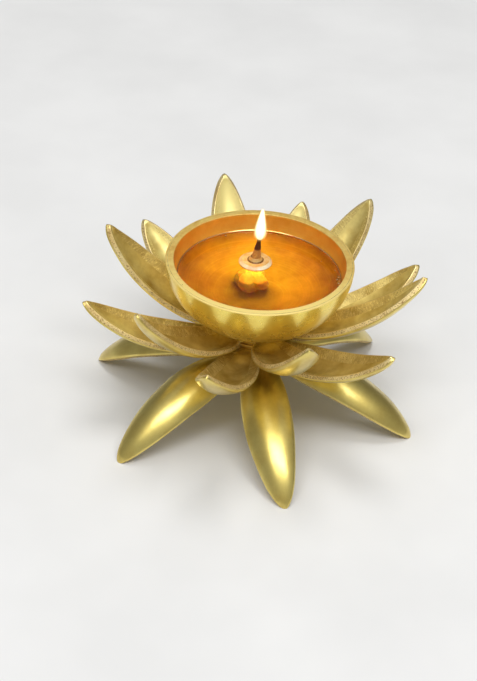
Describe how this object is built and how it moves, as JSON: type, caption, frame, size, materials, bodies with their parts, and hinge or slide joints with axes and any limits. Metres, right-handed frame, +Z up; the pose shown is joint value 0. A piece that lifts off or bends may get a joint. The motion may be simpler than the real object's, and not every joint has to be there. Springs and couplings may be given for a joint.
{
  "type": "lotus oil lamp",
  "caption": "Cast brass lotus oil lamp: a round bowl on stacked tiers of spoon-shaped petals, with a cotton wick standing in it through a glass disc.",
  "frame": {"origin": "on the table under the middle of the bowl, which is the middle of the base", "axes": "+Z up along the bowl's axis; -Y towards the viewer of the picture; +X to that viewer's right"},
  "size_m": [0.181, 0.1808, 0.1032],
  "materials": {
    "bowl_brass": "cast, turned and buffed, with small casting pits",
    "petal_brass": "cast, rounded back buffed bright, face satin, side edges filed",
    "hub_brass": "turned, left dull",
    "bolt_steel": "plain zinc plated",
    "wick_cotton": "twisted cotton wool soaked in oil, charred at the tip",
    "disc_glass": "clear pressed glass with a warm tint"
  },
  "bodies": {
    "lamp": {"bowl": "bowl_brass", "upper_hub": "hub_brass", "middle_hub": "hub_brass", "foot_hub": "hub_brass", "centre_bolt": "bolt_steel", "washer": "bolt_steel", "upper_petal_1": "petal_brass", "upper_petal_2": "petal_brass", "upper_petal_3": "petal_brass", "upper_petal_4": "petal_brass", "upper_petal_5": "petal_brass", "upper_petal_6": "petal_brass", "middle_petal_1": "petal_brass", "middle_petal_2": "petal_brass", "middle_petal_3": "petal_brass", "middle_petal_4": "petal_brass", "middle_petal_5": "petal_brass", "middle_petal_6": "petal_brass", "foot_petal_1": "petal_brass", "foot_petal_2": "petal_brass", "foot_petal_3": "petal_brass", "foot_petal_4": "petal_brass", "foot_petal_5": "petal_brass", "foot_petal_6": "petal_brass"},
    "wick": {"wick": "wick_cotton"},
    "wick_disc": {"wick_disc": "disc_glass"}
  },
  "joints": [
    {"name": "wick_lift", "type": "slide", "parent": "lamp", "child": "wick", "axis": [0, 0, 1], "range_m": [0, 0.05]},
    {"name": "disc_lift", "type": "slide", "parent": "wick", "child": "wick_disc", "axis": [0, 0, 1], "range_m": [0, 0.025]}
  ]
}
